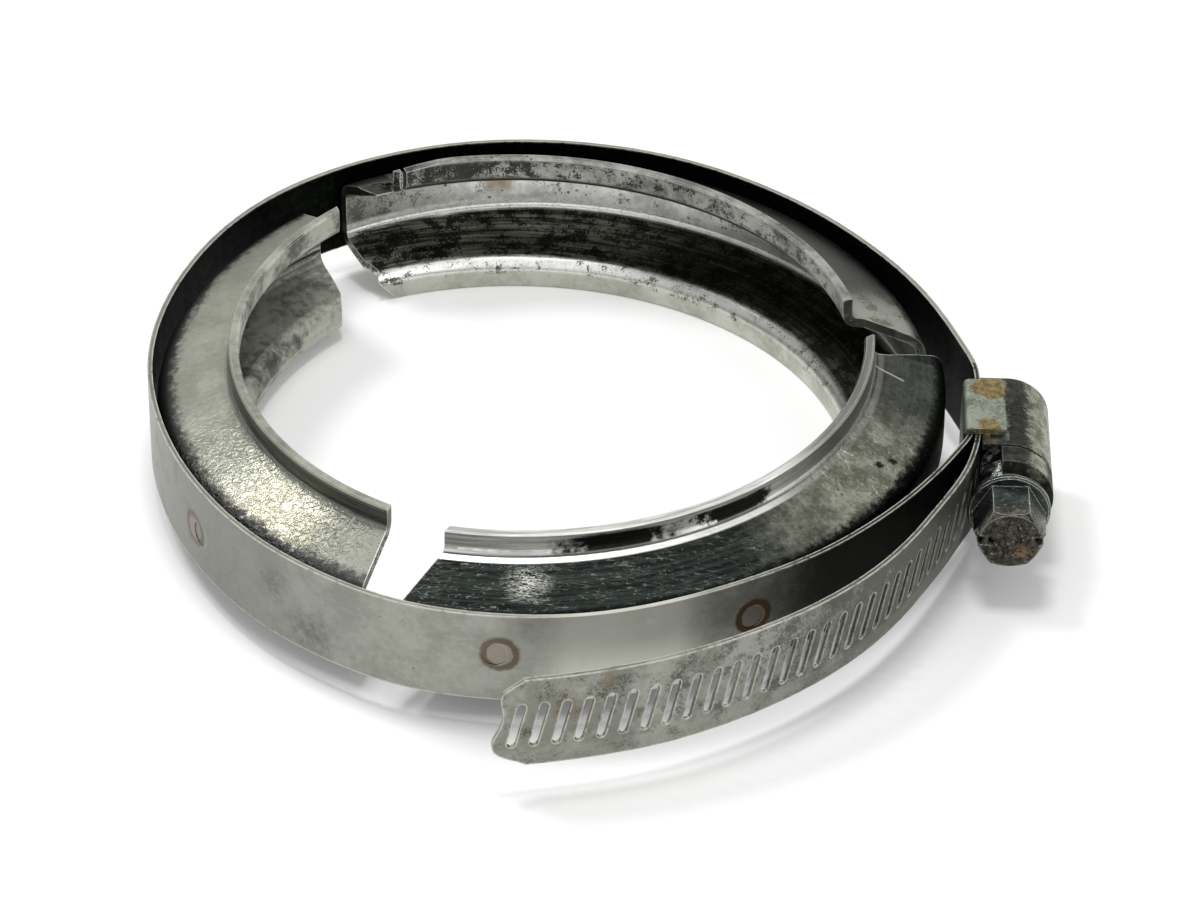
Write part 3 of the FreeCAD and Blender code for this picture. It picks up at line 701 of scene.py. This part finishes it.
# the web, darker and dirtier towards both ends
web_tone = f.tones(f.cloudy, 0.3, 0.65, rgb(0.48, 0.485, 0.45), rgb(0.86, 0.865, 0.83))
web_tone = f.paint(web_tone, f.ease(f.around, 96, 106), 0.62, rgb(0.25, 0.252, 0.22))
towards_end = f.ease(f.around, 100, 118, 0.0, 0.16)
web_dirt = f.ease(f.math("ADD", f.cloud(420, 0.9), towards_end), 0.60, 0.72)
web_tone = f.paint(web_tone, web_dirt, 0.75, rgb(0.035, 0.037, 0.028))
web_tone = f.paint(web_tone, f.ease(f.around, 66, 40), 0.80, rgb(0.05, 0.053, 0.042))
web_tone = f.paint(web_tone, f.ease(f.around, 104, 116), 0.55, rgb(0.10, 0.102, 0.080))
colour = f.mix(f.web, colour, web_tone)

# the lower flange painted dark as a painted reflection, and its black lines
flange_reflection_tone = f.tones(f.drawn, 0.36, 0.66, rgb(0.030, 0.036, 0.026), rgb(0.36, 0.37, 0.32))
flange_reflection_tone = f.paint(flange_reflection_tone, f.ease(f.around, 78, 60), 0.85, rgb(0.014, 0.017, 0.012))
dark_flange = f.both(f.band(f.height, -7.0, -6.2, -3.3, -2.8), f.inner)
colour = f.mix(dark_flange, colour, flange_reflection_tone)
fine_lines = f.ease(f.lines(0.05, 4.5), 0.60, 0.66)
line_zone = f.both(f.band(f.height, -5.9, -5.4, -2.9, -2.4), f.inner)
colour = f.paint(colour, f.both(fine_lines, line_zone), 0.9, rgb(0.006, 0.007, 0.005))
clotted = f.ease(f.math("ADD", f.cloud(460, 0.9), f.math("MULTIPLY", f.lines(0.05, 1.2), 0.5)),
                 0.72, 0.82)
clotted = f.both(clotted, f.both(f.band(f.height, -6.5, -5.9, -3.6, -3.0), f.inner))
colour = f.paint(colour, clotted, 0.92, rgb(0.007, 0.008, 0.006))
towards_end = f.ease(f.around, 106, 118, 0.0, 0.14)
foot_dirt = f.ease(f.math("ADD", f.cloud(520, 0.9), towards_end), 0.60, 0.68)
foot_dirt = f.both(foot_dirt, f.both(f.band(f.height, -8.5, -8.0, -5.5, -4.5), f.inner))

# painted shade under the upper lip, and the pitted upper lip
shade_under_lip = f.both(f.band(f.height, 3.6, 4.4, 7.0, 7.6), f.inner)
colour = f.mix(shade_under_lip, colour, rgb(0.06, 0.063, 0.05))
lip_tone = f.tones(f.cloudy, 0.35, 0.65, rgb(0.14, 0.145, 0.13), rgb(0.34, 0.345, 0.315))
colour = f.mix(f.upper_lip, colour, lip_tone)
towards_tear = f.ease(f.around, 70, 104, 0.0, 0.12)
scab = f.ease(f.math("ADD", f.cloud(520, 0.9), towards_tear), 0.55, 0.62)
scab = f.both(scab, f.both(f.upper_lip, f.less(f.ease(f.height, 9.7, 10.2))))
colour = f.paint(colour, scab, 0.92, rgb(0.010, 0.012, 0.009))
colour = f.paint(colour, f.pits(1100, 0.30, 0.46), 0.85, rgb(0.02, 0.02, 0.016))

# heat stain and the one deep pit
stain = f.both(f.patch(ring_point(97.3, 55.0, 1.2), 2.6, 1.4, 2.4, 500.0), f.web)
colour = f.paint(colour, stain, 0.85, rgb(0.26, 0.185, 0.095))
pit = f.patch(ring_point(86.2, 54.0, 1.6), 1.1, 0.5, 0.9, 1800.0)
colour = f.mix(pit, colour, rgb(0.02, 0.015, 0.01))

# the pale lower lip, and painted highlights on the two rubbed bends
lower_tone = f.tones(f.cloudy, 0.3, 0.7, rgb(0.36, 0.362, 0.30), rgb(0.56, 0.562, 0.49))
colour = f.mix(f.lower_lip, colour, lower_tone)
bend_low = f.both(f.band(f.height, -8.0, -7.5, -6.6, -6.0), f.inner)
bend_web = f.both(f.band(f.height, -3.2, -2.9, -2.0, -1.3), f.inner)
bends = f.both(f.either(bend_low, bend_web), f.ease(f.around, 56, 82, 0.35, 1.0))
bends = f.both(bends, f.ease(f.fine, 0.30, 0.52, 0.55, 1.0))
colour = f.paint(colour, bends, 0.92, rgb(0.93, 0.935, 0.90))
colour = f.paint(colour, foot_dirt, 0.85, rgb(0.02, 0.022, 0.016))

# top of the upper flange at the right end
outer_black = f.both(f.upper_flange, f.less(f.ease(f.around, 22, 12)))
outer_black = f.both(outer_black, f.ease(f.around, 9, 12))
colour = f.paint(colour, outer_black, 0.9, rgb(0.010, 0.013, 0.010))
right_end = f.both(f.upper_flange, f.ease(f.around, 24, 14))
stained = f.tones(f.cloud(330, 0.8), 0.45, 0.62, rgb(0.30, 0.305, 0.265),
                  rgb(0.10, 0.085, 0.045))
colour = f.paint(colour, right_end, 0.8, stained)
colour = f.paint(colour, f.rim, 0.85, rgb(0.62, 0.63, 0.58))

# skin
rough = f.scaled(f.cloudy, 0.16, 0.26)
rough = f.math("SUBTRACT", rough, f.math("MULTIPLY", bends, 0.10))
metal = f.scaled(f.either(scab, pit), -0.3, 0.92)
normal = f.bumps([(f.drawn, 0.14, 0.00007), (f.fine, 0.25, 0.00009),
                  (f.less(scab), 0.6, 0.00020)])
rear_finish = f.done(colour, rough, metal, normal)

# %% [markdown]
# ## Screw housing and saddle
# The housing was plated pale grey green. Ochre rust has lifted the plating in patches,
# and a wide band over the screw is black with caked grease, rough enough to catch light.

# %% Helper: place along the screw
DRIVE = (59.14, -10.7)          # a point on the screw's axis, millimetres
DRIVE_LEAN = math.radians(2.5)  # the axis leans this much from the Y direction
drive_point = Vector((DRIVE[0] / MM, DRIVE[1] / MM, MIDDLE))


def drive_place(f):
    """Metres out from the screw's axis, and along it towards the rear."""
    local = f.vector("SUBTRACT", f.place, tuple(drive_point))
    upright = f.add("ShaderNodeMapping", {"Vector": local, "Rotation": (0, 0, DRIVE_LEAN)})
    out, along, _ = f.split(upright.outputs[0])
    return out, along


print("screw axis through", DRIVE, "mm, leaning", round(math.degrees(DRIVE_LEAN), 1), "degrees")

# %% Finish: housing
f = Finish("housing_steel")
fine = f.cloud(1300, 0.8)
plated = f.tones(f.cloud(330, 0.9), 0.34, 0.62, rgb(0.12, 0.135, 0.105),
                 rgb(0.26, 0.285, 0.225))
olive = f.tones(f.cloud(650, 0.9), 0.38, 0.60, rgb(0.050, 0.048, 0.024),
                rgb(0.29, 0.295, 0.215))
out, along = drive_place(f)
out_mm = f.math("MULTIPLY", out, MM)
along_mm = f.math("MULTIPLY", along, MM)
wander = f.math("MULTIPLY", f.math("SUBTRACT", f.cloud(420, 0.9), 0.5), 2.6)
ragged_out = f.math("ADD", out_mm, wander)
colour = f.mix(f.ease(ragged_out, 1.9, 3.0), plated, olive)

# ochre rust in two places
rear_rust = f.patch(ring_point(353.2, 57.9, 6.4), 2.9, 1.8, 2.6, 500.0)
rear_rust = f.ease(f.math("ADD", f.cloud(300, 0.7), rear_rust), 0.95, 1.10)
front_rust = f.patch(ring_point(344.6, 58.4, 6.4), 1.7, 1.2, 2.2, 500.0)
front_rust = f.ease(f.math("ADD", f.cloud(340, 0.7), front_rust), 0.95, 1.15)
rust = f.either(rear_rust, front_rust)
ochre = f.tones(fine, 0.35, 0.65, rgb(0.080, 0.052, 0.010), rgb(0.30, 0.215, 0.055))
colour = f.paint(colour, rust, 0.9, ochre)

# caked grease over the screw and on the collar
grease = f.band(ragged_out, -0.5, 0.1, 2.3, 3.0)
ragged_along = f.math("ADD", along_mm, wander)
collar_black = f.both(f.ease(ragged_along, -5.9, -6.9),
                      f.less(f.patch(ring_point(342.2, 64.6, 4.6), 2.8, 0.6, 2.2)))
grease = f.either(grease, collar_black)
caked = f.tones(f.cloud(800, 0.9), 0.40, 0.66, rgb(0.003, 0.004, 0.003),
                rgb(0.038, 0.038, 0.030))
colour = f.paint(colour, grease, 0.96, caked)
# painted shade, with grime, in the housing's corners
colour = f.paint(colour, f.corner(0.003, 0.30, 0.70), 0.85, rgb(0.010, 0.011, 0.008))
rim = f.both(f.edge(0.00025, 0.02, 0.14), f.ease(fine, 0.35, 0.6))
colour = f.paint(colour, rim, 0.55, rgb(0.50, 0.51, 0.43))

# skin
rough = f.scaled(f.either(grease, rust), 0.22, 0.36)
metal = f.scaled(rust, -0.60, 0.85)
lumps = f.both(f.cloud(700, 0.9), f.scaled(f.either(grease, rust), 0.8, 0.2))
normal = f.bumps([(fine, 0.25, 0.00008), (lumps, 0.9, 0.00035)])
housing_finish = f.done(colour, rough, metal, normal)

# %% [markdown]
# ## The screw
# Dark, oily and crusted. The thread and the neck are almost black with painted glints, the
# head's sides are dark blue green, and its end is baked over with brown and beige dirt.
# Painted shade sits in its corners, and painted highlights on its rims.

# %% Finish: screw
f = Finish("screw_steel")
cloud = f.cloud(300, 0.6)
fine = f.cloud(1400, 0.8)
lumpy = f.cloud(620, 0.9)
along_mm = f.math("MULTIPLY", drive_place(f)[1], MM)

# oily steel, with painted glints on the thread
dark = f.tones(cloud, 0.3, 0.7, rgb(0.010, 0.014, 0.012), rgb(0.060, 0.072, 0.066))
colour = f.paint(dark, f.ease(fine, 0.60, 0.74), 0.7, rgb(0.34, 0.36, 0.33))
crust = f.tones(lumpy, 0.40, 0.58, rgb(0.006, 0.006, 0.004), rgb(0.085, 0.080, 0.056))
crust = f.mix(f.ease(fine, 0.58, 0.72), crust, rgb(0.38, 0.35, 0.25))
end_on = f.ease(f.math("ADD", along_mm, f.math("MULTIPLY", f.math("SUBTRACT", lumpy, 0.5),
                                               2.0)), -18.0, -19.2)
threaded = f.band(along_mm, -13.5, -12.5, -4.0, -3.0)
glints = f.both(threaded, f.ease(f.cloud(900, 0.8), 0.52, 0.60))
colour = f.paint(colour, glints, 0.85, rgb(0.80, 0.82, 0.78))
colour = f.mix(end_on, colour, crust)
# worn edges, painted brighter as highlights on the rims
rim = f.both(f.edge(0.0003, 0.02, 0.12), f.ease(cloud, 0.28, 0.42))
colour = f.paint(colour, rim, 0.9, rgb(0.78, 0.79, 0.72))
# painted shade, with grime, in the screw's corners, kept off the glints
colour = f.mix(f.both(f.math("MULTIPLY", f.corner(0.002, 0.30, 0.65), 0.8), f.less(glints)),
               colour, rgb(0.004, 0.005, 0.004))

# skin
rough = f.scaled(end_on, 0.35, 0.26)
metal = f.scaled(end_on, -0.75, 0.85)
normal = f.bumps([(fine, 0.35, 0.00012),
                  (f.both(lumpy, f.scaled(end_on, 0.8, 0.2)), 1.0, 0.00060)])
screw_finish = f.done(colour, rough, metal, normal)

# %% [markdown]
# ## Caked dirt on the screw's end
# Years of road dirt have baked into a crust of small grains over the end of the head and
# half filled its slot. Grains repeat, so Geometry Nodes scatter them: points on a disc,
# a small uneven stone on each, sizes and turns from a fixed seed. The tree ends in
# Realize Instances and Set Material, because an export keeps only real geometry.

# %% Finish: crust
f = Finish("baked_dirt")
grain = f.cloud(900, 0.9)
fine = f.cloud(2400, 0.8)
colour = f.tones(grain, 0.42, 0.60, rgb(0.006, 0.006, 0.004), rgb(0.070, 0.064, 0.044))
rusty = f.patch((0.0598, -0.0310, 0.0088), 0.9, 0.6, 1.6, 900.0)
colour = f.paint(colour, rusty, 0.7, rgb(0.23, 0.125, 0.050))
colour = f.mix(f.ease(fine, 0.60, 0.76), colour, rgb(0.42, 0.38, 0.28))
rough = f.scaled(fine, 0.3, 0.45)
crust_finish = f.done(colour, rough, 0.05, f.bumps([(fine, 0.5, 0.00010)]))

# %% Geometry tree: crust
WHOLE_TURN = 6.28       # radians

crust_tree = bpy.data.node_groups.new("crust_grains", "GeometryNodeTree")
for label, kind, value in (("Disc Radius", "Float", 0.0034), ("Thickness", "Float", 0.0002),
                           ("Grains per Area", "Float", 5.5e6), ("Smallest", "Float", 0.00018),
                           ("Largest", "Float", 0.00055), ("Seed", "Int", 4)):
    made = crust_tree.interface.new_socket(label, in_out="INPUT",
                                           socket_type="NodeSocket" + kind)
    made.default_value = value
crust_tree.interface.new_socket("Geometry", in_out="OUTPUT", socket_type="NodeSocketGeometry")
t = Tree(crust_tree)
take = t.add("NodeGroupInput").outputs
disc = t.add("GeometryNodeMeshCircle", {"Vertices": 48, "Radius": take["Disc Radius"]},
             fill_type="TRIANGLE_FAN").outputs["Mesh"]
points = t.add("GeometryNodeDistributePointsOnFaces",
               {"Mesh": disc, "Density": take["Grains per Area"], "Seed": take["Seed"]}).outputs
stone = t.add("GeometryNodeMeshIcoSphere", {"Radius": 1.0, "Subdivisions": 2}).outputs["Mesh"]
uneven = t.add("ShaderNodeTexNoise", {"Scale": 1.3, "Detail": 1.0}).outputs["Color"]
push = t.vector("MULTIPLY", t.vector("SUBTRACT", uneven, (0.5, 0.5, 0.5)), (1.3, 1.3, 0.7))
stone = t.add("GeometryNodeSetPosition", {"Geometry": stone, "Offset": push}).outputs[0]
size = t.add("FunctionNodeRandomValue",
             {"Min": take["Smallest"], "Max": take["Largest"], "Seed": take["Seed"]},
             data_type="FLOAT").outputs["Value"]
spin = t.add("FunctionNodeRandomValue",
             {"Min": (0, 0, 0), "Max": (WHOLE_TURN,) * 3, "Seed": take["Seed"]},
             data_type="FLOAT_VECTOR").outputs["Value"]
stones = t.add("GeometryNodeInstanceOnPoints", {"Points": points["Points"], "Instance": stone,
                                                "Rotation": spin, "Scale": size}).outputs[0]
real = t.add("GeometryNodeRealizeInstances", {"Geometry": stones}).outputs[0]
real = t.add("GeometryNodeSetMaterial", {"Geometry": real, "Material": crust_finish}).outputs[0]
t.add("NodeGroupOutput", {"Geometry": real})
print("tree inputs:", [i.name for i in crust_tree.interface.items_tree if i.in_out == "INPUT"])

# %% [markdown]
# An empty object carries the tree just long enough to make one plain mesh. The grains
# then move to the end of the head inside the mesh, and the piece turns with the screw.

# %% Make the crust and lay it on the end of the head
CRUST_SEED = 11
HEAD_END = 0.01995      # from the drive point to the end of the head, metres

carrier = bpy.data.objects.new("crust_carrier", bpy.data.meshes.new("crust_carrier"))
bpy.context.scene.collection.objects.link(carrier)
modifier = carrier.modifiers.new("grains", "NODES")
modifier.node_group = crust_tree
seed_socket = next(i for i in crust_tree.interface.items_tree if i.name == "Seed").identifier
modifier[seed_socket] = CRUST_SEED
depsgraph = bpy.context.evaluated_depsgraph_get()
crust_mesh = bpy.data.meshes.new_from_object(carrier.evaluated_get(depsgraph))
carrier.modifiers.remove(modifier)
bpy.data.objects.remove(carrier)
low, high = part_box("worm_screw")
head_axis = Vector((-math.sin(DRIVE_LEAN), -math.cos(DRIVE_LEAN), 0.0))
head_end = drive_point + head_axis * HEAD_END
turn = head_axis.to_track_quat("Z", "Y").to_matrix().to_4x4()
crust_mesh.transform(Matrix.Translation(head_end) @ turn)
crust = bpy.data.objects.new("screw_end_crust", crust_mesh)
bpy.context.scene.collection.objects.link(crust)
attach(crust, "screw")
print("crust:", len(crust_mesh.polygons), "faces; screw spans y =",
      round(low[1] * MM, 2), "to", round(high[1] * MM, 2), "mm")

# %% [markdown]
# ## Putting the finishes on
# The CAD objects already stand in their places, so nothing is moved: each one only
# swaps its plain material for the finish made above.

# %% Assign
finishes = {"band_strap": strap_finish, "v_retainer_left": left_finish,
            "v_retainer_front": front_finish, "v_retainer_rear": rear_finish,
            "screw_housing": housing_finish, "housing_saddle": housing_finish,
            "worm_screw": screw_finish}
for node_name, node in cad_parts.items():
    node.data.materials.clear()
    node.data.materials.append(finishes[node_name])
print("finished:", sorted(finishes))
